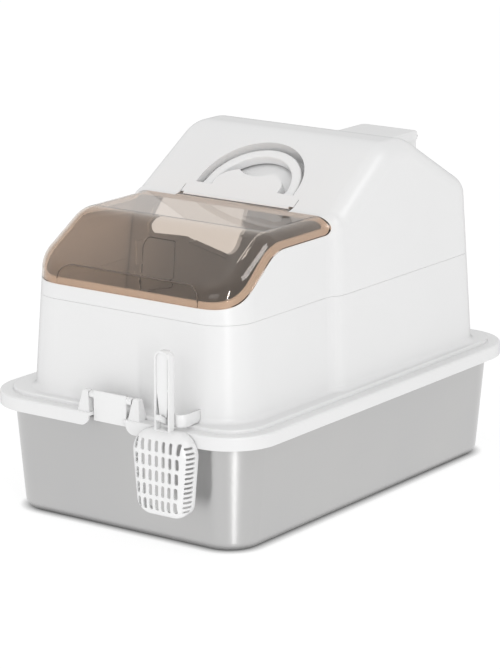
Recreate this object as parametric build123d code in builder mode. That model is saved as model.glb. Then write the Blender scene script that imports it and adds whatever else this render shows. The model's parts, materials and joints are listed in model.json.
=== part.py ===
"""Covered litter box: steel pan, white wall and hood, tinted visor, handle, latches and scoop.

The front of the box faces -Y, Z points up, and the origin lies under the middle of the pan.
Lengths are in millimetres and angles in degrees.
"""
import os
from math import atan2, cos, radians, sin, tan

from build123d import *

os.makedirs("parts", exist_ok=True)

# Clearances and cutting
overrun = 40.0  # how far cutters reach past what they cut
move_gap = 0.5  # between pieces that move past each other
seat_gap = 0.3  # between a resting piece and its seat
pin_gap = 0.06  # radial clearance of a pin in its running bore
weld = 0.6  # how far joined bodies sink into each other
touch = 0.01  # closeness that picks out an edge by its place

# Pan, drawn from steel sheet
pan_width = 345.0
pan_length = 560.0
pan_height = 147.0
pan_draft = 5.0
pan_sheet = 0.8
pan_corner = 42.0
pan_floor_bend = 12.0
pan_flange = 6.0
pan_curl = 4.0

# Rim of the lower wall
rim_width = 402.0
rim_length = 616.5
rim_corner = 65.0
rim_drop = 13.5
rim_ledge = 3.2
rim_skirt = 2.5
rim_round = 2.4
step_inset = 16.0
step_rise = 4.5
step_round = 2.0
foot_round = 6.0
guide_inset = 2.0  # inner skirt that drops into the pan
guide_wall = 2.5
guide_drop = 9.0

# White shell: the wall below the seam and the hood above it
shell_wall = 3.0
seam_height = 271.7
nose_half = 156.4
body_half = 165.8
wall_front = -269.4
wall_rear = 265.7
wall_draft = 3.8
wall_corner = 48.0
jog_front = -68.0  # where the narrow nose widens to the body
jog_run = 15.0
jog_radius = 26.0
tongue_wall = 1.2
tongue_height = 6.0

# Side outline of the hood
visor_top = 367.5
visor_slope = 32.0
visor_bend_at = -178.0
visor_bend = 48.0
crown_foot = -49.0
crown_foot_bend = 28.0
crown_slope = 33.2
crown_top = 439.0
crown_bend = 60.0
crown_rear_at = 118.0
rear_slope = 30.3
crown_round = 24.0

# Visor and its seat in the hood
visor_low = 290.5
visor_high = 347.5
visor_sweep_front = -251.0
visor_sweep_rear = -172.0
visor_sweep_bend = 58.0
visor_rear = -57.0
visor_rear_bend = 12.0
seat_depth = 6.0
seat_width = 7.0
seat_lap = 4.0
grip_half = 106.0
grip_rise = 25.0
grip_bend = 18.0
grip_relief = 1.0

# Visor hinge
hinge_at_y = -44.5
hinge_at_z = 367.0
hinge_barrel = 4.0
hinge_half = 80.5
hinge_slit = 0.8
hinge_slit_length = 19.0
hinge_lug = 5.0
hinge_lug_gap = 0.8
hinge_lug_radius = 2.7
hinge_tab_gap = 1.0
hinge_neck_low = 2.1
hinge_neck_high = -0.4
hinge_pin_radius = 1.5

# Carry handle in its recess on the front slope, placed up the slope from its foot
handle_pivot_up = 32.0
handle_half = 68.8
handle_apex = 102.0
handle_width = 13.0
handle_thick = 13.0
handle_sink = 5.5
handle_round = 2.0
handle_arch_foot = 33.0
handle_pin_radius = 2.0
handle_pin_seat = 2.4
recess_side_gap = 5.8
recess_top_gap = 7.4
recess_foot_gap = 7.0
recess_depth = 20.5
recess_wall = 3.0
island_apex = 60.0
island_core_apex = 42.0
finger_radius = 47.9
finger_up = 91.0
finger_lift = 20.0

# Latches at the front and rear rim
latch_half = 24.5
latch_barrel_half = 31.5
latch_barrel = 4.6
latch_axis_inset = 10.6
latch_axis_height = 171.0
latch_plate = 2.5
latch_head = 177.4
latch_head_round = 1.2
latch_toe = 2.6
latch_toe_reach = 8.6
latch_toe_gap = 0.8
latch_pin_radius = 1.5
latch_pin_half = 40.0
notch_half = 28.0
notch_round = 12.0
lug_inner_foot = 29.5
lug_inner_head = 34.0
lug_outer_foot = 47.0
lug_outer_head = 42.0
lug_front_inset = 3.0
lug_rear_inset = 19.0
lug_lean = 4.5
lug_head = 176.0
lug_round = 2.0

# Scoop and its hook on the front wall
scoop_at = 94.0
scoop_back = -309.2
bowl_depth = 25.0
bowl_wall = 2.2
bowl_low = 46.0
bowl_high = 152.0
bowl_half = 46.0
bowl_foot_half = 36.0
bowl_corner = 22.0
bowl_shoulder = 28.0
bowl_round = 17.0
slot_columns = 7
slot_rows = 5
slot_width = 5.0
slot_length = 14.0
slot_pitch_across = 10.6
slot_pitch_up = 18.0
slot_first_up = 63.0
side_slots = 14
side_slot_width = 3.0
side_slot_length = 13.0
side_slot_pitch = 6.0
side_slot_first = 58.0
grip_width = 22.0
grip_high = 248.0
grip_strip = 2.2
grip_depth = 10.0
grip_back = -313.0
grip_web = 5.0
web_gap = 2.2
web_gap_low = 174.0
web_gap_bridge = 199.0
web_gap_high = 238.0
web_bridge = 3.0
grip_top_round = 9.0
web_shoulder = 203.0
web_foot_half = 4.8
slot_high = 168.0
hook_bar = 2.6
hook_low = 155.4
hook_high = 170.4
hook_side = 114.7
hook_front = -309.7
hook_corner = 8.0
peg_width = 7.0
peg_tall = 6.0
peg_reach = 10.0
peg_tilt = 30.0

# Filter box behind the ridge
box_half = 43.0
box_wall = 2.5
box_rear = 302.0
box_top = 397.0
box_rear_low = 379.0
box_heel = 338.0
box_heel_reach = 262.0
box_corner = 4.0
lid_half = 45.0
lid_thick = 11.0
lid_front = 192.0
lid_wall = 2.5
lid_overhang = 2.5
lid_corner = 8.0
lid_round = 3.0
lid_barrel = 4.2
lid_pin_radius = 1.5
lid_ear = 5.0
lid_ear_at = 34.0
lid_ear_radius = 3.4
lid_ear_foot = 8.0
lid_pin_half = 44.0
pad_thick = 12.0
pad_front = 219.0
pad_gap = 1.0
ledge_reach = 4.0
ledge_thick = 2.5
vent_slots = 6
vent_width = 6.0
vent_length = 46.0
vent_pitch = 11.0
vent_at = 226.0

# Entry in the left wall, from the front foot along the sill to the rear foot and round the head
entry_front = -24.0
entry_front_sill = 303.0
entry_bend = 66.0
entry_bend_sill = 281.0
entry_rear = 182.0
entry_rear_sill = 229.0
entry_head = 366.0
entry_head_front = 30.0
entry_head_rear = 220.0
entry_front_round = 14.0
entry_sill_round = 70.0
entry_rear_round = 22.0
entry_head_round = 40.0
entry_frame_width = 6.0
entry_frame_depth = 6.0

# Clips across the seam, inside
clip_width = 14.0
clip_thick = 2.2
clip_rise = 22.0
clip_drop = 10.0
clip_side_at = -34.0
clip_rear_at = 92.0

# Heights and planes that follow from the sizes above
rim_seat = pan_height
rim_bottom = rim_seat - rim_drop
rim_top = rim_seat + rim_ledge
step_top = rim_top + step_rise
pan_spread = pan_height * tan(radians(pan_draft))
shell_foot = rim_bottom
shell_head = crown_top + overrun
hood_foot = seam_height + seat_gap
visor_wall = shell_wall - seat_gap
tab_half = hinge_half + hinge_slit + hinge_lug
tab_rear = hinge_at_y - hinge_barrel - hinge_tab_gap
recess_half = handle_half + recess_side_gap
recess_apex = handle_apex + recess_top_gap
recess_foot = handle_pivot_up - recess_foot_gap
island_half = handle_half - handle_width - recess_side_gap
rim_edge = rim_length / 2
latch_axis = rim_edge - latch_axis_inset
toe_low = pan_height - pan_curl - latch_toe_gap - latch_toe
lid_low = box_top + move_gap
lid_rear = box_rear + lid_overhang
lid_axis_y = lid_rear - lid_barrel
lid_axis_z = lid_low + lid_barrel
pad_low = box_top - seat_gap - pad_thick
pad_rear = lid_axis_y - lid_ear_radius - pad_gap
slope_plane = Plane(
    origin=(0, crown_foot, visor_top),
    x_dir=(1, 0, 0),
    z_dir=(0, -sin(radians(crown_slope)), cos(radians(crown_slope))),
)
handle_axis = slope_plane.from_local_coords((0, handle_pivot_up, -handle_sink - handle_thick / 2))
peg_plane = Plane(
    origin=(scoop_at, grip_back - (grip_depth + grip_web) / 2, slot_high - move_gap),
    x_dir=(1, 0, 0),
    z_dir=(0, -cos(radians(peg_tilt)), sin(radians(peg_tilt))),
)


def wall_points(height, inset):
    """Corners of the shell's plan at a height, drawn in by the draft and by an inset."""
    lean = (height - seam_height) * tan(radians(wall_draft))
    nose = nose_half - lean - inset
    body = body_half - lean - inset
    front = wall_front + lean + inset
    rear = wall_rear - lean - inset
    jog_turn = atan2(body_half - nose_half, jog_run)
    jog = jog_front + lean + inset * tan(jog_turn / 2)
    right = [(nose, front), (nose, jog), (body, jog + jog_run), (body, rear)]
    left = [(-x, y) for x, y in reversed(right)]
    return right + left


def wall_radii(height, inset):
    """Corner radii that go with wall_points."""
    corner = wall_corner - (height - seam_height) * tan(radians(wall_draft)) - inset
    side = [corner, jog_radius, jog_radius, corner]
    return side + side


def crown_points():
    """Side outline of the shell, closed far below and beyond the walls."""
    front = wall_front - overrun
    rear = wall_rear + overrun
    ridge = crown_foot + (crown_top - visor_top) / tan(radians(crown_slope))
    front_drop = (visor_bend_at - front) * tan(radians(visor_slope))
    rear_drop = (rear - crown_rear_at) * tan(radians(rear_slope))
    return [
        (front, shell_foot - overrun),
        (front, visor_top - front_drop),
        (visor_bend_at, visor_top),
        (crown_foot, visor_top),
        (ridge, crown_top),
        (crown_rear_at, crown_top),
        (rear, crown_top - rear_drop),
        (rear, shell_foot - overrun),
    ]


def wall_form(inset, low, high):
    """Upright walls of the shell between two heights, drawn in by an inset."""
    with BuildPart() as form:
        for height in (low, high):
            with BuildSketch(Plane.XY.offset(height)):
                with BuildLine():
                    radii = wall_radii(height, inset)
                    FilletPolyline(*wall_points(height, inset), radius=radii, close=True)
                make_face()
        loft(ruled=True)
    return form.part


def shell_form(inset):
    """Solid form of the whole shell, wall and hood in one, drawn in by an inset."""
    walls = wall_form(inset, shell_foot, shell_head)
    with BuildPart() as form:
        add(walls)
        with BuildSketch(Plane.YZ):
            with BuildLine():
                bends = [0, 0, visor_bend, crown_foot_bend, crown_bend, crown_bend, 0, 0]
                FilletPolyline(*crown_points(), radius=bends, close=True)
            make_face()
            if inset:
                offset(amount=-inset)
        extrude(amount=body_half + overrun, both=True, mode=Mode.INTERSECT)
        upward_share = 0.5
        crown = [face for face in form.faces() if face.normal_at().Z > upward_share]
        edges = [edge for face in crown for edge in face.edges()]
        border = [edge for edge in edges if sum(edge.is_same(other) for other in edges) == 1]
        fillet(border, radius=crown_round - inset)
    return form.part


def visor_region(grow):
    """Everything above and in front of the line that parts the visor from the hood."""
    front = wall_front - overrun
    top = crown_top + overrun
    with BuildPart() as region:
        with BuildSketch(Plane.YZ):
            with BuildLine():
                FilletPolyline(
                    (front, visor_low),
                    (visor_sweep_front, visor_low),
                    (visor_sweep_rear, visor_high),
                    (visor_rear, visor_high),
                    (visor_rear, top),
                    (front, top),
                    radius=[0, visor_sweep_bend, visor_sweep_bend, visor_rear_bend, 0, 0],
                    close=True,
                )
            make_face()
            offset(amount=grow)
        extrude(amount=body_half + overrun, both=True)
    return region.part


def entry_region(grow):
    """The way in through the left wall, as a block across it."""
    with BuildPart() as region:
        with BuildSketch(Plane.YZ.offset(-body_half - overrun)):
            with BuildLine():
                FilletPolyline(
                    (entry_front, entry_front_sill),
                    (entry_bend, entry_bend_sill),
                    (entry_rear, entry_rear_sill),
                    (entry_head_rear, entry_head),
                    (entry_head_front, entry_head),
                    radius=[
                        entry_front_round,
                        entry_sill_round,
                        entry_rear_round,
                        entry_head_round,
                        entry_head_round,
                    ],
                    close=True,
                )
            make_face()
            if grow:
                offset(amount=grow)
        extrude(amount=overrun * 2)
    return region.part


def hinge_notch(half, rear):
    """Block over the middle of the nose, where the visor reaches back to its hinge."""
    front = visor_rear - shell_wall
    with BuildPart() as block:
        with BuildSketch(Plane.XY.offset(visor_top - overrun)):
            with Locations((0, (front + rear) / 2)):
                Rectangle(2 * half, rear - front)
        extrude(amount=2 * overrun)
    return block.part


def axle(radius, from_x, to_x, at_y, at_z):
    """A round bar along X, for pins, barrels and their bores."""
    with BuildPart() as bar:
        with BuildSketch(Plane.YZ.offset(from_x)):
            with Locations((at_y, at_z)):
                Circle(radius)
        extrude(amount=to_x - from_x)
    return bar.part


def slab(from_z, to_z):
    """A wide flat block between two heights, for cutting the shell at the seam."""
    with BuildPart() as block:
        with BuildSketch(Plane.XY.offset(from_z)):
            Rectangle(rim_width + overrun, rim_length + overrun)
        extrude(amount=to_z - from_z)
    return block.part


def arch(half, apex, foot):
    """Outline of an arch with straight legs, to be placed on the front slope."""
    with BuildSketch() as outline:
        with BuildLine():
            Polyline((half, handle_arch_foot), (half, foot), (-half, foot), (-half, handle_arch_foot))
            EllipticalCenterArc((0, handle_arch_foot), half, apex - handle_arch_foot, arc_size=180)
        make_face()
    return outline.sketch


outer_form = shell_form(0)
inner_form = shell_form(shell_wall)
seat_inner_form = shell_form(seat_depth)
visor_inner_form = shell_form(visor_wall)
grip_form = shell_form(-grip_relief)

# Litter pan
with BuildPart() as pan_outside:
    for height, spread in ((0, 0), (pan_height, pan_spread)):
        with BuildSketch(Plane.XY.offset(height)):
            RectangleRounded(pan_width + 2 * spread, pan_length + 2 * spread, pan_corner + spread)
    loft(ruled=True)
    fillet(pan_outside.faces().sort_by(Axis.Z)[0].edges(), radius=pan_floor_bend)

with BuildPart() as pan_inside:
    inner_spread = pan_spread - pan_sheet
    for height, spread in ((pan_sheet, -pan_sheet), (pan_height, inner_spread)):
        with BuildSketch(Plane.XY.offset(height)):
            RectangleRounded(pan_width + 2 * spread, pan_length + 2 * spread, pan_corner + spread)
    loft(ruled=True)
    fillet(pan_inside.faces().sort_by(Axis.Z)[0].edges(), radius=pan_floor_bend - pan_sheet)

with BuildPart() as litter_pan:
    add(pan_outside.part)
    flange_spread = pan_spread + pan_flange
    for depth, spread, mode in (
        (pan_curl, flange_spread, Mode.ADD),
        (pan_curl - pan_sheet, flange_spread - pan_sheet, Mode.SUBTRACT),
    ):
        with BuildSketch(Plane.XY.offset(pan_height - pan_curl)):
            RectangleRounded(pan_width + 2 * spread, pan_length + 2 * spread, pan_corner + spread)
        extrude(amount=depth, mode=mode)
    add(pan_outside.part)
    add(pan_inside.part, mode=Mode.SUBTRACT)
litter_pan.part.label = "litter_pan"
export_step(litter_pan.part, "parts/litter_pan.step")

# Lower wall with its rim, from the skirt up to the tongue at the seam
with BuildPart() as wall_block:
    add(outer_form)
    add(slab(seam_height, shell_head + overrun), mode=Mode.SUBTRACT)
    add(slab(shell_foot - overrun, rim_seat), mode=Mode.SUBTRACT)

with BuildPart() as wall_tongue:
    add(wall_form(shell_wall - tongue_wall, seam_height - tongue_height, seam_height + tongue_height))
    add(inner_form, mode=Mode.SUBTRACT)

with BuildPart() as entry_frame:
    add(wall_form(shell_wall - weld, shell_foot, shell_head))
    add(wall_form(entry_frame_depth, shell_foot - weld, shell_head + weld), mode=Mode.SUBTRACT)
    add(entry_region(entry_frame_width), mode=Mode.INTERSECT)

with BuildPart() as wall_frame:
    add(entry_frame.part)
    add(slab(seam_height, shell_head + overrun), mode=Mode.SUBTRACT)

with BuildPart() as lower_wall:
    with BuildSketch(Plane.XY.offset(rim_bottom)):
        RectangleRounded(rim_width, rim_length, rim_corner)
    extrude(amount=rim_top - rim_bottom)
    fillet(lower_wall.faces().sort_by(Axis.Z)[-1].edges(), radius=rim_round)
    with BuildSketch(Plane.XY.offset(rim_seat)):
        RectangleRounded(rim_width - 2 * step_inset, rim_length - 2 * step_inset, rim_corner - step_inset)
    extrude(amount=step_top - rim_seat)
    fillet(lower_wall.faces().sort_by(Axis.Z)[-1].edges(), radius=step_round)
    add(wall_block.part)
    step_face = lower_wall.faces().filter_by(Plane.XY).sort_by(Axis.Z)[-2]
    fillet(step_face.inner_wires()[0].edges(), radius=foot_round)
    with BuildSketch(Plane.XY.offset(rim_bottom)):
        RectangleRounded(rim_width - 2 * rim_skirt, rim_length - 2 * rim_skirt, rim_corner - rim_skirt)
    extrude(amount=rim_seat - rim_bottom, mode=Mode.SUBTRACT)
    guide_spread = pan_spread - pan_sheet - guide_inset
    with BuildSketch(Plane.XY.offset(rim_seat - guide_drop)):
        for spread, mode in ((guide_spread, Mode.ADD), (guide_spread - guide_wall, Mode.SUBTRACT)):
            RectangleRounded(
                pan_width + 2 * spread, pan_length + 2 * spread, pan_corner + spread, mode=mode
            )
    extrude(amount=guide_drop + weld)
    add(inner_form, mode=Mode.SUBTRACT)
    add(wall_tongue.part)
    add(wall_frame.part)
    add(entry_region(0), mode=Mode.SUBTRACT)
    for side in (-1, 1):
        # The ledge is cut back behind the flap, and the skirt opens below it with rounded ends.
        slot_depth = latch_axis_inset - latch_barrel + latch_plate + move_gap
        for half, depth, head in (
            (latch_half + move_gap, slot_depth, rim_top + weld),
            (notch_half, rim_skirt + weld, rim_seat),
        ):
            with BuildSketch(Plane.XY.offset(rim_bottom - overrun)):
                with Locations((0, side * (rim_edge + (overrun - depth) / 2))):
                    Rectangle(2 * half, overrun + depth)
            extrude(amount=head - rim_bottom + overrun, mode=Mode.SUBTRACT)
        for hand in (-1, 1):
            for height, inner, outer, lean in (
                (rim_top - weld, lug_inner_foot, lug_outer_foot, 0),
                (lug_head, lug_inner_head, lug_outer_head, lug_lean),
            ):
                near = rim_edge - lug_front_inset - lean
                far = rim_edge - lug_rear_inset + lean
                with BuildSketch(Plane.XY.offset(height)):
                    with Locations((hand * (inner + outer) / 2, side * (near + far) / 2)):
                        Rectangle(outer - inner, near - far)
            loft()
    skirt_ends = [
        edge
        for edge in lower_wall.edges().filter_by(Axis.Y)
        if abs(abs(edge.center().X) - notch_half) < touch and abs(edge.center().Z - rim_bottom) < touch
    ]
    fillet(skirt_ends, radius=notch_round)
    lug_faces = lower_wall.faces().filter_by_position(Axis.Z, lug_head - touch, lug_head + touch)
    fillet(lug_faces.edges(), radius=lug_round)
    for side in (-1, 1):
        add(
            axle(latch_pin_radius, -latch_pin_half, latch_pin_half, side * latch_axis, latch_axis_height),
            mode=Mode.SUBTRACT,
        )
lower_wall.part.label = "lower_wall"
export_step(lower_wall.part, "parts/lower_wall.step")


# Latches: a flap on a barrel, with a toe that hooks under the rim of the pan
def latch_flap(side):
    """The flap at the front rim (side -1) or the rear rim (side 1)."""
    outer = side * (latch_axis + latch_barrel)
    inner = side * (latch_axis + latch_barrel - latch_plate)
    tip = side * (latch_axis + latch_barrel - latch_toe_reach)
    barrel = axle(latch_barrel, -latch_barrel_half, latch_barrel_half, side * latch_axis, latch_axis_height)
    bore = axle(
        latch_pin_radius + pin_gap,
        -latch_barrel_half - overrun,
        latch_barrel_half + overrun,
        side * latch_axis,
        latch_axis_height,
    )
    with BuildPart() as flap:
        with BuildSketch(Plane.YZ.offset(-latch_half)):
            with BuildLine():
                FilletPolyline(
                    (outer, latch_head),
                    (outer, toe_low),
                    (tip, toe_low),
                    (tip, toe_low + latch_toe),
                    (inner, toe_low + latch_toe),
                    (inner, latch_head),
                    radius=[latch_head_round, latch_head_round, 0, 0, 0, latch_head_round],
                    close=True,
                )
            make_face()
        extrude(amount=2 * latch_half)
        add(barrel)
        add(bore, mode=Mode.SUBTRACT)
    return flap.part


front_latch = latch_flap(-1)
front_latch.label = "front_latch"
export_step(front_latch, "parts/front_latch.step")

rear_latch = latch_flap(1)
rear_latch.label = "rear_latch"
export_step(rear_latch, "parts/rear_latch.step")

front_latch_pin = axle(latch_pin_radius, -latch_pin_half, latch_pin_half, -latch_axis, latch_axis_height)
front_latch_pin.label = "front_latch_pin"
export_step(front_latch_pin, "parts/front_latch_pin.step")

rear_latch_pin = axle(latch_pin_radius, -latch_pin_half, latch_pin_half, latch_axis, latch_axis_height)
rear_latch_pin.label = "rear_latch_pin"
export_step(rear_latch_pin, "parts/rear_latch_pin.step")

# Hood
with BuildPart() as visor_seat:
    add(outer_form)
    add(seat_inner_form, mode=Mode.SUBTRACT)
    add(visor_region(seat_lap), mode=Mode.INTERSECT)
    add(visor_region(-seat_width), mode=Mode.SUBTRACT)

with BuildPart() as visor_pocket:
    add(visor_region(move_gap / 2))
    add(hinge_notch(tab_half + hinge_lug_gap, hinge_at_y))
    add(inner_form, mode=Mode.SUBTRACT)

with BuildPart() as hood_frame:
    add(entry_frame.part)
    add(slab(shell_foot - overrun, hood_foot), mode=Mode.SUBTRACT)

with BuildPart() as handle_tray:
    with BuildSketch(slope_plane.offset(-recess_depth - recess_wall)):
        add(arch(recess_half + recess_wall, recess_apex + recess_wall, recess_foot - recess_wall))
    extrude(amount=recess_depth + recess_wall - weld)

with BuildPart() as finger_hollow:
    with BuildSketch(slope_plane.offset(-recess_depth)):
        add(arch(recess_half, recess_apex, recess_foot))
    extrude(amount=recess_depth + overrun)
    with Locations(slope_plane.from_local_coords((0, finger_up, finger_lift))):
        Sphere(finger_radius, mode=Mode.INTERSECT)

with BuildPart() as handle_recess:
    with BuildSketch(slope_plane.offset(-recess_depth)):
        add(arch(recess_half, recess_apex, recess_foot))
        add(arch(island_half, island_apex, recess_foot), mode=Mode.SUBTRACT)
    extrude(amount=recess_depth + overrun)
    with BuildSketch(slope_plane.offset(-recess_depth - overrun)):
        add(arch(island_half - recess_wall, island_core_apex, recess_foot + recess_wall))
    extrude(amount=recess_depth + overrun - shell_wall)
    add(finger_hollow.part)

with BuildPart() as hood:
    add(outer_form)
    add(inner_form, mode=Mode.SUBTRACT)
    add(slab(shell_foot - overrun, hood_foot), mode=Mode.SUBTRACT)
    add(visor_seat.part)
    add(visor_pocket.part, mode=Mode.SUBTRACT)
    add(handle_tray.part)
    add(handle_recess.part, mode=Mode.SUBTRACT)
    add(axle(hinge_barrel, -hinge_half, hinge_half, hinge_at_y, hinge_at_z))
    add(hood_frame.part)
    add(entry_region(0), mode=Mode.SUBTRACT)
    # The tongue of the wall slides into a rebate all round the foot.
    rebate_head = seam_height + tongue_height + seat_gap
    add(
        wall_form(shell_wall - tongue_wall - seat_gap, hood_foot - weld, rebate_head),
        mode=Mode.SUBTRACT,
    )
    for hand in (-1, 1):
        lug_from = hand * hinge_half
        lug_to = hand * (hinge_half + hinge_slit + hinge_lug + hinge_lug_gap)
        add(
            axle(
                hinge_lug_radius + hinge_lug_gap,
                min(lug_from, lug_to),
                max(lug_from, lug_to),
                hinge_at_y,
                hinge_at_z,
            ),
            mode=Mode.SUBTRACT,
        )
        with BuildSketch(slope_plane.offset(-shell_wall - weld)):
            with Locations((hand * (tab_half + hinge_lug_gap - hinge_slit / 2), hinge_slit_length / 2)):
                Rectangle(hinge_slit, hinge_slit_length)
        extrude(amount=shell_wall + hinge_barrel, mode=Mode.SUBTRACT)
        pin_from = hand * (island_half - handle_pin_seat - seat_gap)
        pin_to = hand * (recess_half + handle_pin_seat + seat_gap)
        add(
            axle(
                handle_pin_radius + pin_gap,
                min(pin_from, pin_to),
                max(pin_from, pin_to),
                handle_axis.Y,
                handle_axis.Z,
            ),
            mode=Mode.SUBTRACT,
        )
    add(
        axle(
            hinge_pin_radius + pin_gap,
            -hinge_half - overrun,
            hinge_half + overrun,
            hinge_at_y,
            hinge_at_z,
        ),
        mode=Mode.SUBTRACT,
    )
    with BuildSketch(Plane.XY.offset(box_heel)):
        with GridLocations(0, vent_pitch, 1, vent_slots):
            with Locations((0, vent_at)):
                SlotOverall(vent_length, vent_width)
    extrude(amount=crown_top - box_heel, mode=Mode.SUBTRACT)
hood.part.label = "hood"
export_step(hood.part, "parts/hood.step")

# Visor with its finger grip, its hinge lugs and the pin that turns with it
with BuildPart() as visor_grip:
    add(grip_form)
    add(visor_inner_form, mode=Mode.SUBTRACT)
    add(visor_region(-move_gap / 2), mode=Mode.INTERSECT)
    with BuildSketch(Plane.XZ.offset(-wall_front - overrun)):
        with BuildLine():
            FilletPolyline(
                (-grip_half, visor_low - overrun),
                (grip_half, visor_low - overrun),
                (grip_half, visor_low + grip_rise),
                (-grip_half, visor_low + grip_rise),
                radius=[0, 0, grip_bend, grip_bend],
                close=True,
            )
        make_face()
    extrude(amount=2 * overrun, mode=Mode.INTERSECT)

with BuildPart() as visor_tab:
    add(outer_form)
    add(visor_inner_form, mode=Mode.SUBTRACT)
    add(hinge_notch(tab_half, tab_rear), mode=Mode.INTERSECT)

with BuildPart() as visor:
    add(outer_form)
    add(visor_inner_form, mode=Mode.SUBTRACT)
    add(visor_region(-move_gap / 2), mode=Mode.INTERSECT)
    add(visor_tab.part)
    add(visor_grip.part)
    for hand in (-1, 1):
        near = hand * (hinge_half + hinge_slit)
        far = hand * tab_half
        add(axle(hinge_lug_radius, min(near, far), max(near, far), hinge_at_y, hinge_at_z))
        with BuildSketch(Plane.YZ.offset(min(near, far))):
            with BuildLine():
                Polyline(
                    (tab_rear - weld, hinge_at_z - hinge_neck_low),
                    (hinge_at_y, hinge_at_z - hinge_neck_low),
                    (hinge_at_y, hinge_at_z + hinge_neck_high),
                    (tab_rear - weld, hinge_at_z + hinge_neck_high),
                    close=True,
                )
            make_face()
        extrude(amount=hinge_lug)
        add(
            axle(hinge_pin_radius, min(near, far), max(near, far), hinge_at_y, hinge_at_z),
            mode=Mode.SUBTRACT,
        )
visor.part.label = "visor"
export_step(visor.part, "parts/visor.step")

visor_hinge_pin = axle(hinge_pin_radius, -tab_half, tab_half, hinge_at_y, hinge_at_z)
visor_hinge_pin.label = "visor_hinge_pin"
export_step(visor_hinge_pin, "parts/visor_hinge_pin.step")

# Carry handle and its two pivot pins
with BuildPart() as carry_handle:
    handle_inner = handle_half - handle_width
    with BuildSketch(slope_plane.offset(-handle_sink - handle_thick)):
        add(arch(handle_half, handle_apex, handle_pivot_up))
        add(arch(handle_inner, handle_apex - handle_width, handle_pivot_up), mode=Mode.SUBTRACT)
    extrude(amount=handle_thick)
    fillet(carry_handle.edges().filter_by(GeomType.ELLIPSE), radius=handle_round)
    for near, far in ((-handle_half, -handle_inner), (handle_inner, handle_half)):
        add(axle(handle_thick / 2, near, far, handle_axis.Y, handle_axis.Z))
        add(axle(handle_pin_radius, near, far, handle_axis.Y, handle_axis.Z), mode=Mode.SUBTRACT)
carry_handle.part.label = "carry_handle"
export_step(carry_handle.part, "parts/carry_handle.step")

pin_near = island_half - handle_pin_seat
pin_far = recess_half + handle_pin_seat
handle_pin_left = axle(handle_pin_radius, -pin_far, -pin_near, handle_axis.Y, handle_axis.Z)
handle_pin_left.label = "handle_pin_left"
export_step(handle_pin_left, "parts/handle_pin_left.step")

handle_pin_right = axle(handle_pin_radius, pin_near, pin_far, handle_axis.Y, handle_axis.Z)
handle_pin_right.label = "handle_pin_right"
export_step(handle_pin_right, "parts/handle_pin_right.step")

# Scoop: a slotted bowl, open to the rear, with a loop for a handle
bowl_points = [
    (scoop_at - bowl_foot_half, bowl_low),
    (scoop_at + bowl_foot_half, bowl_low),
    (scoop_at + bowl_half, bowl_high),
    (scoop_at - bowl_half, bowl_high),
]
bowl_radii = [bowl_corner, bowl_corner, bowl_shoulder, bowl_shoulder]

with BuildPart() as bowl_space:
    with BuildSketch(Plane.XZ.offset(-scoop_back)):
        with BuildLine():
            FilletPolyline(*bowl_points, radius=bowl_radii, close=True)
        make_face()
        offset(amount=-bowl_wall)
    extrude(amount=bowl_depth - bowl_wall)
    fillet(bowl_space.faces().sort_by(Axis.Y)[0].edges(), radius=bowl_round - bowl_wall)

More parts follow.
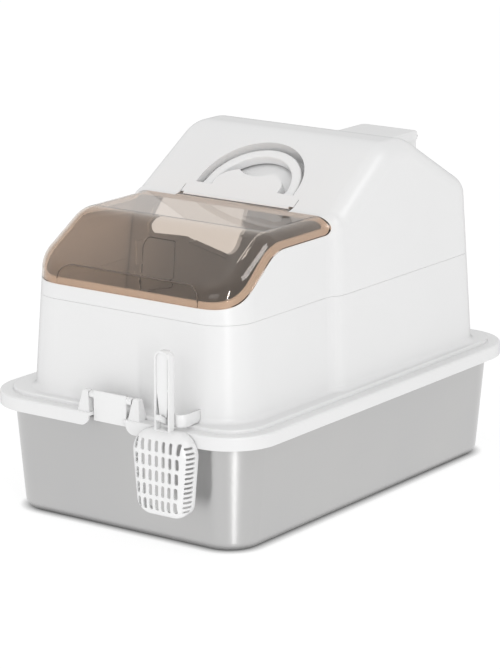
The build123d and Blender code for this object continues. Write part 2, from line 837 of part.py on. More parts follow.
with BuildPart() as scoop:
    with BuildSketch(Plane.XZ.offset(-scoop_back)):
        with BuildLine():
            FilletPolyline(*bowl_points, radius=bowl_radii, close=True)
        make_face()
    extrude(amount=bowl_depth)
    fillet(scoop.faces().sort_by(Axis.Y)[0].edges(), radius=bowl_round)
    add(bowl_space.part, mode=Mode.SUBTRACT)
    with BuildSketch(Plane.XZ.offset(-scoop_back + bowl_depth + overrun)):
        for row in range(slot_rows):
            up = slot_first_up + row * slot_pitch_up
            up_share = (up - bowl_low) / (bowl_high - bowl_low)
            half = bowl_foot_half + (bowl_half - bowl_foot_half) * up_share
            for column in range(slot_columns):
                across = (column - (slot_columns - 1) / 2) * slot_pitch_across * half / bowl_half
                with Locations((scoop_at + across, up)):
                    SlotOverall(slot_length, slot_width, rotation=90)
    extrude(amount=-overrun - bowl_round, mode=Mode.SUBTRACT)
    for hand in (-1, 1):
        with BuildSketch(Plane.YZ.offset(scoop_at + hand * (bowl_half + overrun))):
            for row in range(side_slots):
                with Locations((scoop_back - bowl_depth / 2, side_slot_first + row * side_slot_pitch)):
                    SlotOverall(side_slot_length, side_slot_width)
        side_reach = overrun + bowl_half - bowl_foot_half + 2 * bowl_wall
        extrude(amount=-hand * side_reach, mode=Mode.SUBTRACT)
    grip_foot = bowl_high - bowl_wall
    with BuildSketch(Plane.XZ.offset(-grip_back)):
        for inset, mode in ((0, Mode.ADD), (grip_strip, Mode.SUBTRACT)):
            half = grip_width / 2 - inset
            with BuildLine():
                FilletPolyline(
                    (scoop_at - half, grip_foot + inset),
                    (scoop_at + half, grip_foot + inset),
                    (scoop_at + half, grip_high - inset),
                    (scoop_at - half, grip_high - inset),
                    radius=[0, 0, grip_top_round - inset, grip_top_round - inset],
                    close=True,
                )
            make_face(mode=mode)
    extrude(amount=grip_depth)
    with BuildSketch(Plane.XZ.offset(-grip_back + (grip_depth - grip_web) / 2)):
        half = (grip_width - grip_strip) / 2
        web_head = grip_high - grip_strip / 2
        head_round = grip_top_round - grip_strip / 2
        with BuildLine():
            FilletPolyline(
                (scoop_at - web_foot_half, slot_high),
                (scoop_at + web_foot_half, slot_high),
                (scoop_at + half, web_shoulder),
                (scoop_at + half, web_head),
                (scoop_at - half, web_head),
                (scoop_at - half, web_shoulder),
                radius=[0, 0, 0, head_round, head_round, 0],
                close=True,
            )
        make_face()
        # A narrow gap parts the web from the right strip, with one short bridge across it.
        gap_to = grip_width / 2 - grip_strip
        for low, high in (
            (web_gap_low, web_gap_bridge),
            (web_gap_bridge + web_bridge, web_gap_high),
        ):
            with Locations((scoop_at + gap_to - web_gap / 2, (low + high) / 2)):
                Rectangle(web_gap, high - low, mode=Mode.SUBTRACT)
    extrude(amount=grip_web)
scoop.part.label = "scoop"
export_step(scoop.part, "parts/scoop.step")

# Hook for the scoop: a strap bent round a corner, with a peg that leans up
with BuildPart() as scoop_hook:
    with BuildSketch(Plane.XY.offset(hook_low)):
        with BuildLine():
            FilletPolyline(
                (scoop_at - peg_width / 2, hook_front),
                (hook_side, hook_front),
                (hook_side, wall_front + overrun),
                radius=hook_corner,
            )
        trace(line_width=hook_bar)
    extrude(amount=hook_high - hook_low)
    peg_back = (hook_front - peg_plane.origin.Y) / cos(radians(peg_tilt))
    with BuildSketch(peg_plane.offset(-peg_back)):
        with Locations((0, -peg_tall / 2)):
            Rectangle(peg_width, peg_tall)
    extrude(amount=peg_back + peg_reach)
    add(outer_form, mode=Mode.SUBTRACT)
    add(lower_wall.part, mode=Mode.SUBTRACT)
scoop_hook.part.label = "scoop_hook"
export_step(scoop_hook.part, "parts/scoop_hook.step")

# Filter box on the rear slope, with ledges for the pad and ears for the lid
with BuildPart() as filter_box:
    with BuildSketch(Plane.YZ.offset(-box_half)):
        with BuildLine():
            Polyline(
                (crown_rear_at, box_top),
                (box_rear, box_top),
                (box_rear, box_rear_low),
                (box_heel_reach, box_heel),
                (crown_rear_at, box_heel),
                close=True,
            )
        make_face()
    extrude(amount=2 * box_half)
    fillet(filter_box.edges().filter_by(Axis.Z).group_by(Axis.Y)[-1], radius=box_corner)
    with BuildSketch(Plane.YZ.offset(-box_half + box_wall)):
        with BuildLine():
            Polyline(
                (crown_rear_at, box_top + overrun),
                (box_rear - box_wall, box_top + overrun),
                (box_rear - box_wall, box_rear_low + box_wall / 2),
                (box_heel_reach - box_wall / 2, box_heel + box_wall),
                (crown_rear_at, box_heel + box_wall),
                close=True,
            )
        make_face()
    extrude(amount=2 * (box_half - box_wall), mode=Mode.SUBTRACT)
    for hand in (-1, 1):
        with BuildSketch(Plane.XY.offset(pad_low - ledge_thick)):
            ledge_from = box_half - box_wall - ledge_reach
            ledge_to = box_half - box_wall + weld
            with Locations((hand * (ledge_from + ledge_to) / 2, (pad_front + box_rear - box_wall) / 2)):
                Rectangle(ledge_to - ledge_from, box_rear - box_wall - pad_front)
        extrude(amount=ledge_thick)
        near = hand * lid_ear_at
        far = hand * (lid_ear_at + lid_ear)
        with BuildSketch(Plane.YZ.offset(min(near, far))):
            with Locations((lid_axis_y, lid_axis_z)):
                Circle(lid_ear_radius)
            ear_foot = box_top - lid_ear_foot
            with Locations(((lid_axis_y - lid_ear_radius + box_rear) / 2, (ear_foot + lid_axis_z) / 2)):
                Rectangle(box_rear - lid_axis_y + lid_ear_radius, lid_axis_z - ear_foot)
        extrude(amount=lid_ear)
    add(outer_form, mode=Mode.SUBTRACT)
    add(
        axle(
            lid_pin_radius + pin_gap,
            -lid_ear_at - overrun,
            lid_ear_at + overrun,
            lid_axis_y,
            lid_axis_z,
        ),
        mode=Mode.SUBTRACT,
    )
filter_box.part.label = "filter_box"
export_step(filter_box.part, "parts/filter_box.step")

# Filter lid, hollow below, turning on a pin through the ears of the box
with BuildPart() as filter_lid:
    with BuildSketch(Plane.YZ):
        with BuildLine():
            FilletPolyline(
                (lid_front, lid_low),
                (lid_rear, lid_low),
                (lid_rear, lid_low + lid_thick),
                (lid_front, lid_low + lid_thick),
                radius=[0, lid_barrel, 0, 0],
                close=True,
            )
        make_face()
    extrude(amount=lid_half, both=True)
    with BuildSketch(Plane.XY.offset(lid_low)):
        with Locations((0, (lid_front + lid_rear) / 2)):
            RectangleRounded(2 * lid_half, lid_rear - lid_front, lid_corner)
    extrude(amount=lid_thick, mode=Mode.INTERSECT)
    fillet(filter_lid.faces().sort_by(Axis.Z)[-1].edges(), radius=lid_round)
    with BuildSketch(Plane.XY.offset(lid_low)):
        hollow_rear = lid_axis_y - lid_barrel - lid_wall
        with Locations((0, (lid_front + lid_wall + hollow_rear) / 2)):
            RectangleRounded(
                2 * (lid_half - lid_wall), hollow_rear - lid_front - lid_wall, lid_corner - lid_wall
            )
    extrude(amount=lid_thick - lid_wall, mode=Mode.SUBTRACT)
    ear_clear = lid_ear_radius + move_gap
    with BuildSketch(Plane.XY.offset(lid_low - overrun)):
        ear_middle = lid_ear_at + lid_ear / 2
        with Locations(
            (-ear_middle, lid_axis_y + (overrun - ear_clear) / 2),
            (ear_middle, lid_axis_y + (overrun - ear_clear) / 2),
        ):
            Rectangle(lid_ear + 2 * move_gap, overrun + ear_clear)
    extrude(amount=overrun + lid_axis_z - lid_low + ear_clear, mode=Mode.SUBTRACT)
    add(
        axle(lid_pin_radius, -lid_pin_half, lid_pin_half, lid_axis_y, lid_axis_z),
        mode=Mode.SUBTRACT,
    )
filter_lid.part.label = "filter_lid"
export_step(filter_lid.part, "parts/filter_lid.step")

filter_lid_pin = axle(lid_pin_radius, -lid_pin_half, lid_pin_half, lid_axis_y, lid_axis_z)
filter_lid_pin.label = "filter_lid_pin"
export_step(filter_lid_pin, "parts/filter_lid_pin.step")

with BuildPart() as carbon_filter:
    with BuildSketch(Plane.XY.offset(pad_low)):
        with Locations((0, (pad_front + pad_rear) / 2)):
            Rectangle(2 * (box_half - box_wall - pad_gap), pad_rear - pad_front)
    extrude(amount=pad_thick)
carbon_filter.part.label = "carbon_filter"
export_step(carbon_filter.part, "parts/carbon_filter.step")


# Clips: each stands on the hood's inner face and hangs down past the seam, clear of the wall
def seam_clip(turn, reach, at):
    """A clip on the wall that faces the turned X axis, so far from the middle and along the wall."""
    knee = seam_height + tongue_height + 2 * move_gap
    face = reach - (knee - seam_height) * tan(radians(wall_draft)) - shell_wall - move_gap
    head = seam_height + clip_rise
    inside = wall_form(shell_wall, knee - overrun, head + overrun)
    with BuildPart() as clip:
        with BuildSketch(Plane.XY.offset(knee).rotated((0, 0, turn))):
            with Locations((face - clip_thick + overrun / 2, at)):
                Rectangle(overrun, clip_width)
        extrude(amount=head - knee)
        add(inside, mode=Mode.INTERSECT)
        with BuildSketch(Plane.XY.offset(seam_height - clip_drop).rotated((0, 0, turn))):
            with Locations((face - clip_thick / 2, at)):
                Rectangle(clip_thick, clip_width)
        extrude(amount=clip_drop + knee - seam_height)
    return clip.part


hood_clip_front_left = seam_clip(180, body_half, -clip_side_at)
hood_clip_front_left.label = "hood_clip_front_left"
export_step(hood_clip_front_left, "parts/hood_clip_front_left.step")

hood_clip_front_right = seam_clip(0, body_half, clip_side_at)
hood_clip_front_right.label = "hood_clip_front_right"
export_step(hood_clip_front_right, "parts/hood_clip_front_right.step")

hood_clip_rear_left = seam_clip(90, wall_rear, clip_rear_at)
hood_clip_rear_left.label = "hood_clip_rear_left"
export_step(hood_clip_rear_left, "parts/hood_clip_rear_left.step")

hood_clip_rear_right = seam_clip(90, wall_rear, -clip_rear_at)
hood_clip_rear_right.label = "hood_clip_rear_right"
export_step(hood_clip_rear_right, "parts/hood_clip_rear_right.step")
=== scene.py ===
"""Covered litter box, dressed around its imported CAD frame.

Steel pan, white wall and hood, brown-tinted visor, folding handle, rim latches, filter box, scoop.
Metres, Z up, front towards -Y. The sections follow the order in which the box is put together.
"""
import json
from math import radians, tan

import bpy
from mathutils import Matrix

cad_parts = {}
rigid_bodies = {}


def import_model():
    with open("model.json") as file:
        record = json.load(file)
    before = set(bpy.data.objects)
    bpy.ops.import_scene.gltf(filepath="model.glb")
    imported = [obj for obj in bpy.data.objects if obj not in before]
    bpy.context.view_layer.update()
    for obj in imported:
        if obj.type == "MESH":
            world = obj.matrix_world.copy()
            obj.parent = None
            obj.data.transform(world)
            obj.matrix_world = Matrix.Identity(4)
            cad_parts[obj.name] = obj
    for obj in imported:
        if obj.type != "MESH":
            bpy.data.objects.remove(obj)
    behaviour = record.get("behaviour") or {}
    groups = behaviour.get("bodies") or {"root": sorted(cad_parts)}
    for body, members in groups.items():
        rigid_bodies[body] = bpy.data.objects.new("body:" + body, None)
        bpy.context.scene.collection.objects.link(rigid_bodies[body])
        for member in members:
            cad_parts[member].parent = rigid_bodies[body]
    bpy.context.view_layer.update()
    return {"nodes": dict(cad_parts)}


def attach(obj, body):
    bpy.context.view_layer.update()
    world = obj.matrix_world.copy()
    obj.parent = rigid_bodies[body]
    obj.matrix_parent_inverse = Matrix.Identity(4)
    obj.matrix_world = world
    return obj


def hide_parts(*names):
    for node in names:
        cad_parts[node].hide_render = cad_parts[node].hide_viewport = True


# CAD frame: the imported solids, one node each, in an otherwise empty scene.
# The nodes stay where they are, and the sections below give them their finish.
for left_over in list(bpy.data.objects):
    bpy.data.objects.remove(left_over)
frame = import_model()
nodes = frame["nodes"]
bpy.ops.object.select_all(action="DESELECT")

# Camera: a long lens from the front right, a little above the box. Its place and its focal
# length were worked out from the straight edges of the pan, the rim and the seam.
camera_place = (2.2624, -3.1536, 1.1836)
camera_azimuth = 35.79
camera_elevation = 14.40
camera_lens = 169.99
bpy.ops.object.camera_add(
    location=camera_place,
    rotation=(radians(90 - camera_elevation), 0, radians(camera_azimuth)),
)
camera = bpy.context.object
camera.data.lens = camera_lens
camera.data.sensor_width = 36
camera.data.clip_end = 60
bpy.context.scene.camera = camera
bpy.context.scene.view_settings.view_transform = "Standard"

# Litter pan: drawn from thin stainless sheet, with fine brushing that runs round the walls.
# Its upright walls mirror the floor softly, and the brushing draws highlights out upwards.
brush_stretch = (0.03, 0.03, 1.0)
bloom_scale = 5.0
brush_bump = 0.03
relief = 0.0001
brushed = bpy.data.node_groups.new("brushed_sheet", "ShaderNodeTree")
for socket in ("Scale", "Depth"):
    brushed.interface.new_socket(socket, in_out="INPUT", socket_type="NodeSocketFloat")
for socket in ("Lines", "Height", "Bloom"):
    brushed.interface.new_socket(socket, in_out="OUTPUT", socket_type="NodeSocketFloat")
group_in = brushed.nodes.new("NodeGroupInput")
group_out = brushed.nodes.new("NodeGroupOutput")
place = brushed.nodes.new("ShaderNodeTexCoord")
squeeze = brushed.nodes.new("ShaderNodeMapping")
squeeze.inputs["Scale"].default_value = brush_stretch
lines = brushed.nodes.new("ShaderNodeTexNoise")
lines.inputs["Detail"].default_value = 4.0
lines.inputs["Roughness"].default_value = 0.65
bloom = brushed.nodes.new("ShaderNodeTexNoise")
bloom.inputs["Scale"].default_value = bloom_scale
bloom.inputs["Detail"].default_value = 3.0
deep = brushed.nodes.new("ShaderNodeMath")
deep.operation = "MULTIPLY"
brushed.links.new(place.outputs["Object"], squeeze.inputs["Vector"])
brushed.links.new(squeeze.outputs["Vector"], lines.inputs["Vector"])
brushed.links.new(group_in.outputs["Scale"], lines.inputs["Scale"])
brushed.links.new(place.outputs["Object"], bloom.inputs["Vector"])
brushed.links.new(lines.outputs["Fac"], deep.inputs[0])
brushed.links.new(group_in.outputs["Depth"], deep.inputs[1])
brushed.links.new(lines.outputs["Fac"], group_out.inputs["Lines"])
brushed.links.new(deep.outputs[0], group_out.inputs["Height"])
brushed.links.new(bloom.outputs["Fac"], group_out.inputs["Bloom"])


def new_material(name):
    """A new material, with its node tree and its main shader."""
    material = bpy.data.materials.new(name)
    material.use_nodes = True
    return material, material.node_tree, material.node_tree.nodes["Principled BSDF"]


def two_tones(tree, first, second):
    """A colour between two tones."""
    tone = tree.nodes.new("ShaderNodeMix")
    tone.data_type = "RGBA"
    tone.inputs["A"].default_value = (*first, 1)
    tone.inputs["B"].default_value = (*second, 1)
    return tone


def uneven(tree, shader, gloss_by, height, smooth, coarse, depth):
    """Let the roughness of a shader follow one output of a node group, and its relief another."""
    rough = tree.nodes.new("ShaderNodeMapRange")
    rough.inputs["To Min"].default_value = smooth
    rough.inputs["To Max"].default_value = coarse
    bump = tree.nodes.new("ShaderNodeBump")
    bump.inputs["Strength"].default_value = depth
    bump.inputs["Distance"].default_value = relief
    tree.links.new(gloss_by, rough.inputs["Value"])
    tree.links.new(rough.outputs["Result"], shader.inputs["Roughness"])
    tree.links.new(height, bump.inputs["Height"])
    tree.links.new(bump.outputs["Normal"], shader.inputs["Normal"])


def steel(name, dark, light, smooth, coarse, line_scale, line_depth):
    """Brushed steel between two greys and two roughnesses, which follow the brush lines."""
    material, tree, shader = new_material(name)
    shader.inputs["Metallic"].default_value = 1.0
    sheet = tree.nodes.new("ShaderNodeGroup")
    sheet.node_tree = brushed
    sheet.inputs["Scale"].default_value = line_scale
    sheet.inputs["Depth"].default_value = line_depth
    tone = two_tones(tree, dark, light)
    tree.links.new(sheet.outputs["Bloom"], tone.inputs["Factor"])
    tree.links.new(tone.outputs["Result"], shader.inputs["Base Color"])
    uneven(tree, shader, sheet.outputs["Lines"], sheet.outputs["Height"], smooth, coarse, brush_bump)
    return material


def dress(material, *names):
    """Give CAD pieces their finish."""
    for name in names:
        nodes[name].data.materials.clear()
        nodes[name].data.materials.append(material)


pan_steel = steel(
    "pan_steel",
    dark=(0.50, 0.50, 0.505),
    light=(0.56, 0.555, 0.545),
    smooth=0.31,
    coarse=0.35,
    line_scale=1600.0,
    line_depth=1.0,
)
pan_shader = pan_steel.node_tree.nodes["Principled BSDF"]
pan_shader.inputs["Anisotropic"].default_value = 0.8
pan_shader.inputs["Anisotropic Rotation"].default_value = 0.25
dress(pan_steel, "litter_pan")

# Lower wall and hood: thick white plastic out of a polished mould with a soft sheen.
# The surface is very slightly uneven, as large thin mouldings are. Painted shade darkens its colour
# in its own narrow gaps and where it turns away from the eye.
wave_scale = 9.0
# Painted shade: the next three numbers set how the colour darkens in narrow gaps, the two after them
# how it darkens where the surface turns from the eye.
gap_shade_reach = 0.008
gap_shade_closed = 0.1
gap_shade_tone = 0.25
edge_shade_from = 0.55
edge_shade_power = 2.5
moulded = bpy.data.node_groups.new("moulded_grain_and_shade", "ShaderNodeTree")
for socket in ("Grain Scale", "Wave Scale"):
    moulded.interface.new_socket(socket, in_out="INPUT", socket_type="NodeSocketFloat")
for socket in ("Tone", "Height", "Gap Shade", "Gap Shade Alone"):
    moulded.interface.new_socket(socket, in_out="OUTPUT", socket_type="NodeSocketFloat")
group_in = moulded.nodes.new("NodeGroupInput")
group_out = moulded.nodes.new("NodeGroupOutput")
place = moulded.nodes.new("ShaderNodeTexCoord")
for scale, output in (("Wave Scale", "Tone"), ("Grain Scale", "Height")):
    noise = moulded.nodes.new("ShaderNodeTexNoise")
    noise.inputs["Detail"].default_value = 2.0
    moulded.links.new(place.outputs["Object"], noise.inputs["Vector"])
    moulded.links.new(group_in.outputs[scale], noise.inputs["Scale"])
    moulded.links.new(noise.outputs["Fac"], group_out.inputs[output])
# Painted shade: occlusion outputs that darken the colour in narrow gaps.
for output, alone in (("Gap Shade", False), ("Gap Shade Alone", True)):
    gap_occlusion = moulded.nodes.new("ShaderNodeAmbientOcclusion")
    gap_occlusion.inputs["Distance"].default_value = gap_shade_reach
    gap_occlusion.only_local = alone
    moulded.links.new(gap_occlusion.outputs["AO"], group_out.inputs[output])


def plastic(
    name, shade, white, smooth, coarse, grain_scale, grain_depth, edge_shade_tone, gap_shade_by, gap_shade_from
):
    """Moulded plastic: a faint change of tone and gloss, a fine grain, painted shade in gaps and on
    edges.
    """
    material, tree, shader = new_material(name)
    grain_and_shade = tree.nodes.new("ShaderNodeGroup")
    grain_and_shade.node_tree = moulded
    grain_and_shade.inputs["Grain Scale"].default_value = grain_scale
    grain_and_shade.inputs["Wave Scale"].default_value = wave_scale
    tone = two_tones(tree, shade, white)
    # Painted shade: the colour darkens towards edges where the surface turns away from the eye.
    edge_on = tree.nodes.new("ShaderNodeLayerWeight")
    turned = tree.nodes.new("ShaderNodeMapRange")
    turned.inputs["From Min"].default_value = edge_shade_from
    steep = tree.nodes.new("ShaderNodeMath")
    steep.operation = "POWER"
    steep.inputs[1].default_value = edge_shade_power
    fall = two_tones(tree, shade, [part * edge_shade_tone for part in shade])
    # Painted shade: the colour is multiplied darker in narrow gaps, by occlusion.
    gap_shade_share = tree.nodes.new("ShaderNodeMapRange")
    gap_shade_share.inputs["From Min"].default_value = gap_shade_closed
    gap_shade_share.inputs["From Max"].default_value = gap_shade_from
    gap_shade_share.inputs["To Min"].default_value = gap_shade_tone
    gap_shade_mix = tree.nodes.new("ShaderNodeMix")
    gap_shade_mix.data_type = "RGBA"
    gap_shade_mix.blend_type = "MULTIPLY"
    gap_shade_mix.inputs["Factor"].default_value = 1.0
    tree.links.new(grain_and_shade.outputs[gap_shade_by], gap_shade_share.inputs["Value"])
    tree.links.new(gap_shade_share.outputs["Result"], gap_shade_mix.inputs["B"])
    tree.links.new(edge_on.outputs["Facing"], turned.inputs["Value"])
    tree.links.new(turned.outputs["Result"], steep.inputs[0])
    tree.links.new(steep.outputs[0], fall.inputs["Factor"])
    tree.links.new(grain_and_shade.outputs["Tone"], tone.inputs["Factor"])
    tree.links.new(tone.outputs["Result"], fall.inputs["A"])
    tree.links.new(fall.outputs["Result"], gap_shade_mix.inputs["A"])
    tree.links.new(gap_shade_mix.outputs["Result"], shader.inputs["Base Color"])
    grain = grain_and_shade.outputs["Height"]
    uneven(tree, shader, grain, grain, smooth, coarse, grain_depth)
    return material


white_shell = plastic(
    "white_shell",
    shade=(0.80, 0.80, 0.80),
    white=(0.83, 0.83, 0.83),
    smooth=0.30,
    coarse=0.38,
    grain_scale=700.0,
    grain_depth=0.15,
    edge_shade_tone=0.42,
    gap_shade_by="Gap Shade Alone",
    gap_shade_from=0.5,
)
dress(
    white_shell,
    "lower_wall",
    "hood",
    "hood_clip_front_left",
    "hood_clip_front_right",
    "hood_clip_rear_left",
    "hood_clip_rear_right",
)

# Latches, handle, filter box and scoop: the same white plastic, in smaller mouldings
# with a slightly finer finish. Painted shade darkens them in their gaps to other pieces too.
white_trim = plastic(
    "white_trim",
    shade=(0.82, 0.82, 0.82),
    white=(0.85, 0.85, 0.85),
    smooth=0.28,
    coarse=0.36,
    grain_scale=1200.0,
    grain_depth=0.10,
    edge_shade_tone=0.42,
    gap_shade_by="Gap Shade",
    gap_shade_from=0.6,
)
dress(
    white_trim,
    "front_latch",
    "rear_latch",
    "carry_handle",
    "filter_box",
    "filter_lid",
    "scoop",
    "scoop_hook",
)

# Pins: short lengths of drawn wire, a little brighter than the pan.
# They carry the visor, the handle, both latches and the filter lid.
pin_steel = steel(
    "pin_steel",
    dark=(0.52, 0.52, 0.52),
    light=(0.60, 0.60, 0.60),
    smooth=0.25,
    coarse=0.35,
    line_scale=2500.0,
    line_depth=0.6,
)
dress(
    pin_steel,
    "visor_hinge_pin",
    "handle_pin_left",
    "handle_pin_right",
    "front_latch_pin",
    "rear_latch_pin",
    "filter_lid_pin",
)

# Visor: clear plastic with a brown smoke tint all through. Lamps and the light of the room
# pass it with a lighter tint, so that the room behind it is lit warm and not too dark.
visor_colour = (0.63, 0.54, 0.465, 1)
passed_colour = (0.97, 0.86, 0.77, 1)


def either(tree, first, second):
    """The larger of two masks."""
    larger = tree.nodes.new("ShaderNodeMath")
    larger.operation = "MAXIMUM"
    tree.links.new(first, larger.inputs[0])
    tree.links.new(second, larger.inputs[1])
    return larger.outputs[0]


visor_tint, tree, shader = new_material("visor_tint")
shader.inputs["Base Color"].default_value = visor_colour
shader.inputs["Transmission Weight"].default_value = 1.0
shader.inputs["Roughness"].default_value = 0.02
shader.inputs["IOR"].default_value = 1.49
shader.inputs["Specular IOR Level"].default_value = 0.08
let_through = tree.nodes.new("ShaderNodeBsdfTransparent")
let_through.inputs["Color"].default_value = passed_colour
paths = tree.nodes.new("ShaderNodeLightPath")
lights = either(tree, paths.outputs["Is Shadow Ray"], paths.outputs["Is Diffuse Ray"])
mixed = tree.nodes.new("ShaderNodeMixShader")
tree.links.new(lights, mixed.inputs["Fac"])
tree.links.new(shader.outputs["BSDF"], mixed.inputs[1])
tree.links.new(let_through.outputs["BSDF"], mixed.inputs[2])
tree.links.new(mixed.outputs["Shader"], tree.nodes["Material Output"].inputs["Surface"])
dress(visor_tint, "visor")

# Carbon filter: needled black felt, rough all over, with painted shade in its narrow gaps and none
# at its edges.
# It lies in the filter box, over the vent of the hood.
felt = plastic(
    "carbon_felt",
    shade=(0.02, 0.02, 0.022),
    white=(0.05, 0.05, 0.055),
    smooth=0.9,
    coarse=1.0,
    grain_scale=900.0,
    grain_depth=1.0,
    edge_shade_tone=1.0,
    gap_shade_by="Gap Shade Alone",
    gap_shade_from=0.5,
)
dress(felt, "carbon_filter")

# Smooth shading: all CAD pieces show their rounds smooth and keep their edges.
# The visor and the large shells are shown as they come from the CAD.
cad_smooth_below = radians(32)
for node in nodes.values():
    node.select_set(True)
bpy.context.view_layer.objects.active = nodes["hood"]
bpy.ops.object.shade_smooth_by_angle(angle=cad_smooth_below)
bpy.ops.object.select_all(action="DESELECT")

# Softened edges: small moulded pieces have small rounds where their CAD solids are sharp.
# Each stands for its solid and moves with the same body.
weld_gap = 0.00002
sharp_from = radians(40)
smooth_below = radians(38)
soft_steps = 2


def welded_copy(source, name):
    """A copy of a piece, free of its parent, with the doubled corners of its mesh joined."""
    bpy.ops.object.select_all(action="DESELECT")
    source.select_set(True)
    bpy.context.view_layer.objects.active = source
    bpy.ops.object.duplicate()
    bpy.ops.object.parent_clear(type="CLEAR_KEEP_TRANSFORM")
    copy = bpy.context.object
    copy.name = name
    bpy.ops.object.mode_set(mode="EDIT")
    bpy.ops.mesh.select_all(action="SELECT")
    bpy.ops.mesh.remove_doubles(threshold=weld_gap)
    bpy.ops.object.mode_set(mode="OBJECT")
    return copy


def softened(name, body, width):
    """A copy of a CAD piece with its sharp edges rounded."""
    piece = welded_copy(nodes[name], name + "_soft")
    bpy.ops.object.modifier_add(type="BEVEL")
    bevel = piece.modifiers[-1]
    bevel.width = width
    bevel.segments = soft_steps
    bevel.limit_method = "ANGLE"
    bevel.angle_limit = sharp_from
    bpy.ops.object.modifier_apply(modifier=bevel.name)
    bpy.ops.object.shade_smooth_by_angle(angle=smooth_below)
    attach(piece, body)
    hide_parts(name)


for name, body, width in (
    ("front_latch", "front_latch_body", 0.0006),
    ("rear_latch", "rear_latch_body", 0.0006),
    ("carry_handle", "handle_body", 0.0008),
    ("filter_box", "hood_body", 0.0005),
    ("filter_lid", "filter_lid_body", 0.0006),
    ("scoop", "scoop_body", 0.0004),
    ("scoop_hook", "base", 0.0006),
):
    softened(name, body, width)
bpy.ops.object.select_all(action="DESELECT")

# Finger grip of the visor: a thin dark tube along the step of the raised field is painted shade,
# for the dark line that a sharp edge in tinted plastic shows.
grip_reach = 0.1075
grip_foot = 0.2925
grip_head = 0.3180
grip_behind = -0.240
grip_thick = 0.0006
line_steps = 2
# Painted shade: a dark brown line along the step of the grip.
grip_shade_material, tree, shader = new_material("visor_edge_shade")
shader.inputs["Base Color"].default_value = (0.13, 0.10, 0.08, 1)
shader.inputs["Roughness"].default_value = 0.15


def traced(source, name, chosen, thick, material, body):
    """A thin round line along those sharp edges of a piece that are chosen by their place."""
    line = welded_copy(source, name)
    line.data.materials.clear()
    bpy.ops.object.mode_set(mode="EDIT")
    bpy.ops.mesh.select_mode(type="EDGE")
    bpy.ops.mesh.select_all(action="DESELECT")
    bpy.ops.mesh.edges_select_sharp(sharpness=sharp_from)
    bpy.ops.object.mode_set(mode="OBJECT")
    for face in line.data.polygons:
        face.select = False
    for edge in line.data.edges:
        ends = [line.data.vertices[corner].co for corner in edge.vertices]
        edge.select = not (edge.select and all(chosen(end) for end in ends))
    bpy.ops.object.mode_set(mode="EDIT")
    bpy.ops.mesh.delete(type="EDGE_FACE")
    bpy.ops.mesh.select_all(action="SELECT")
    bpy.ops.mesh.delete(type="ONLY_FACE")
    bpy.ops.mesh.select_all(action="SELECT")
    bpy.ops.mesh.delete_loose(use_verts=True, use_edges=False, use_faces=False)
    bpy.ops.object.mode_set(mode="OBJECT")
    bpy.ops.object.convert(target="CURVE")
    line.data.bevel_depth = thick
    line.data.bevel_resolution = line_steps
    line.data.use_fill_caps = True
    bpy.ops.object.convert(target="MESH")
    line.data.materials.append(material)
    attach(line, body)
    bpy.ops.object.select_all(action="DESELECT")


def on_grip(at):
    """Whether a point lies on the border of the finger grip."""
    return abs(at.x) < grip_reach and grip_foot < at.z < grip_head and at.y < grip_behind


traced(nodes["visor"], "grip_shade_line", on_grip, grip_thick, grip_shade_material, "visor_body")

# Sill panel: the raised field below the front of the way in, on the inside of the left wall.
# It shows through the visor, with a dark grey line round its border, painted shade for the shadow
# line there.
panel_front = -0.029
panel_rear = 0.040
panel_low = 0.222
panel_high = 0.295
panel_fall = 0.016
panel_corner = 0.014
panel_corner_steps = 6
panel_proud = 0.0030
panel_round = 0.0012
panel_round_steps = 3
shade_line_thick = 0.0007
wall_lean = radians(3.8)
wall_inside = -0.1628
wall_inside_at = 0.2717
close = 0.0001
bpy.ops.mesh.primitive_cube_add(
    size=1,
    location=(wall_inside, (panel_front + panel_rear) / 2, (panel_low + panel_high) / 2),
    scale=(2 * panel_proud, panel_rear - panel_front, panel_high - panel_low),
)
panel = bpy.context.object
panel.name = "sill_panel"
bpy.ops.object.transform_apply(location=True, rotation=True, scale=True)


def pick_head(at_y):
    """Select the edge across the panel that lies at its head, at the front or at the rear."""
    for face in panel.data.polygons:
        face.select = False
    for edge in panel.data.edges:
        ends = [panel.data.vertices[corner].co for corner in edge.vertices]
        edge.select = all(abs(end.y - at_y) < close and end.z > panel_high - close for end in ends)


bpy.ops.object.mode_set(mode="EDIT")
bpy.ops.mesh.select_mode(type="EDGE")
bpy.ops.mesh.select_all(action="DESELECT")
bpy.ops.object.mode_set(mode="OBJECT")
pick_head(panel_front)
bpy.ops.object.mode_set(mode="EDIT")
bpy.ops.mesh.bevel(offset=panel_corner, segments=panel_corner_steps)
bpy.ops.mesh.select_all(action="DESELECT")
bpy.ops.object.mode_set(mode="OBJECT")
pick_head(panel_rear)
bpy.ops.object.mode_set(mode="EDIT")
bpy.ops.transform.translate(value=(0, 0, -panel_fall))
bpy.ops.mesh.select_all(action="SELECT")
bpy.ops.transform.rotate(
    value=-wall_lean,
    orient_axis="Y",
    center_override=(wall_inside, 0, wall_inside_at),
)
bpy.ops.object.mode_set(mode="OBJECT")


def on_panel_face(at):
    """Whether a point lies on the face of the panel that stands out from the wall."""
    return at.x > wall_inside + (at.z - wall_inside_at) * tan(wall_lean)


# Painted shade: a dark grey line along the panel's border, where a shadow line falls.
panel_shade_grey, tree, shader = new_material("panel_shade_line")
shader.inputs["Base Color"].default_value = (0.16, 0.15, 0.14, 1)
shader.inputs["Roughness"].default_value = 0.5
traced(panel, "panel_shade_line", on_panel_face, shade_line_thick, panel_shade_grey, "base")
bpy.context.view_layer.objects.active = panel
panel.data.materials.append(white_shell)
bpy.ops.object.modifier_add(type="BEVEL")
rounded = panel.modifiers[-1]
rounded.width = panel_round
rounded.segments = panel_round_steps
bpy.ops.object.modifier_apply(modifier=rounded.name)
panel.select_set(True)
bpy.ops.object.shade_smooth_by_angle(angle=smooth_below)
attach(panel, "base")
bpy.ops.object.select_all(action="DESELECT")
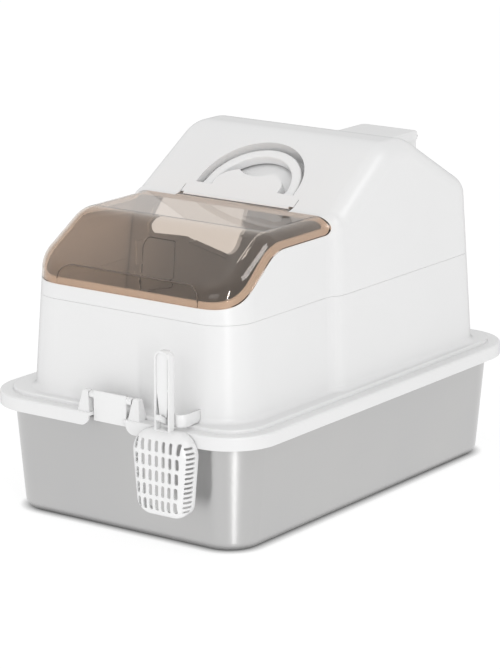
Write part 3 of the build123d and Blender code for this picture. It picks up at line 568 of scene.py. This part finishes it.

# Floor: wide and white to the camera but for the shade close to the box: real shadow on its matt
# part and painted shade, where occlusion darkens its glow. Mirrors show it white beyond that shade.
floor_grey = 0.25
floor_glow = 0.82
shade_reach = 0.012
mirror_near = 0.01
mirror_far = 0.06
bpy.ops.mesh.primitive_plane_add(size=30)
floor = bpy.context.object
floor.name = "floor"
floor_white, tree, shader = new_material("floor_white")
tree.nodes.remove(shader)
matt = tree.nodes.new("ShaderNodeBsdfDiffuse")
matt.inputs["Color"].default_value = (floor_grey, floor_grey, floor_grey, 1)
# Painted shade: occlusion darkens the floor's glow close to the box.
contact_shade = tree.nodes.new("ShaderNodeAmbientOcclusion")
contact_shade.inputs["Distance"].default_value = shade_reach
glow = tree.nodes.new("ShaderNodeEmission")
glow.inputs["Strength"].default_value = floor_glow
white_glow = tree.nodes.new("ShaderNodeEmission")
both = tree.nodes.new("ShaderNodeAddShader")
paths = tree.nodes.new("ShaderNodeLightPath")
mirrors = either(tree, paths.outputs["Is Glossy Ray"], paths.outputs["Is Transmission Ray"])
far_off = tree.nodes.new("ShaderNodeMapRange")
far_off.inputs["From Min"].default_value = mirror_near
far_off.inputs["From Max"].default_value = mirror_far
share = tree.nodes.new("ShaderNodeMath")
share.operation = "MULTIPLY"
choice = tree.nodes.new("ShaderNodeMixShader")
tree.links.new(contact_shade.outputs["Color"], glow.inputs["Color"])
tree.links.new(matt.outputs["BSDF"], both.inputs[0])
tree.links.new(glow.outputs["Emission"], both.inputs[1])
tree.links.new(paths.outputs["Ray Length"], far_off.inputs["Value"])
tree.links.new(mirrors, share.inputs[0])
tree.links.new(far_off.outputs["Result"], share.inputs[1])
tree.links.new(share.outputs[0], choice.inputs["Fac"])
tree.links.new(both.outputs["Shader"], choice.inputs[1])
tree.links.new(white_glow.outputs["Emission"], choice.inputs[2])
tree.links.new(choice.outputs["Shader"], tree.nodes["Material Output"].inputs["Surface"])
floor.data.materials.append(floor_white)

# Surround: white to the camera, in mirrors and through the visor.
# It lights the box a little less than that.
surround_light = 0.78
surround_seen = 1.0
world = bpy.data.worlds.new("studio")
bpy.context.scene.world = world
world.use_nodes = True
tree = world.node_tree
surround = tree.nodes["Background"]
surround.inputs["Color"].default_value = (1, 1, 1, 1)
paths = tree.nodes.new("ShaderNodeLightPath")
seen = either(tree, paths.outputs["Is Camera Ray"], paths.outputs["Is Glossy Ray"])
seen = either(tree, seen, paths.outputs["Is Transmission Ray"])
level = tree.nodes.new("ShaderNodeMapRange")
level.inputs["To Min"].default_value = surround_light
level.inputs["To Max"].default_value = surround_seen
tree.links.new(seen, level.inputs["Value"])
tree.links.new(level.outputs["Result"], surround.inputs["Strength"])


# Lamps: soft light from above, from the front corner and from the front. Two more show only
# as gleams, along the front corner of the pan and on the crown of the hood.
def softbox(name, place, turn, wide, tall, power):
    """A soft lamp."""
    bpy.ops.object.light_add(type="AREA", location=place, rotation=[radians(a) for a in turn])
    lamp = bpy.context.object
    lamp.name = name
    lamp.data.shape = "RECTANGLE"
    lamp.data.size = wide
    lamp.data.size_y = tall
    lamp.data.energy = power
    return lamp


softbox("top_light", (0.0, -0.2, 2.6), (0, 0, 0), wide=3.0, tall=3.0, power=5)
softbox("corner_light", (2.3, -2.1, 1.0), (90, 0, 47), wide=0.13, tall=2.2, power=14)
gleam = softbox("corner_gleam", (2.28, -2.08, 1.0), (90, 0, 47), wide=0.13, tall=2.2, power=30)
gleam.visible_diffuse = False
gleam = softbox("crown_gleam", (1.9, 0.4, 2.6), (-8, 38, 0), wide=1.0, tall=1.0, power=16)
gleam.visible_diffuse = False
softbox("front_light", (0.4, -3.4, 1.4), (75, 0, 5), wide=1.6, tall=1.2, power=8)
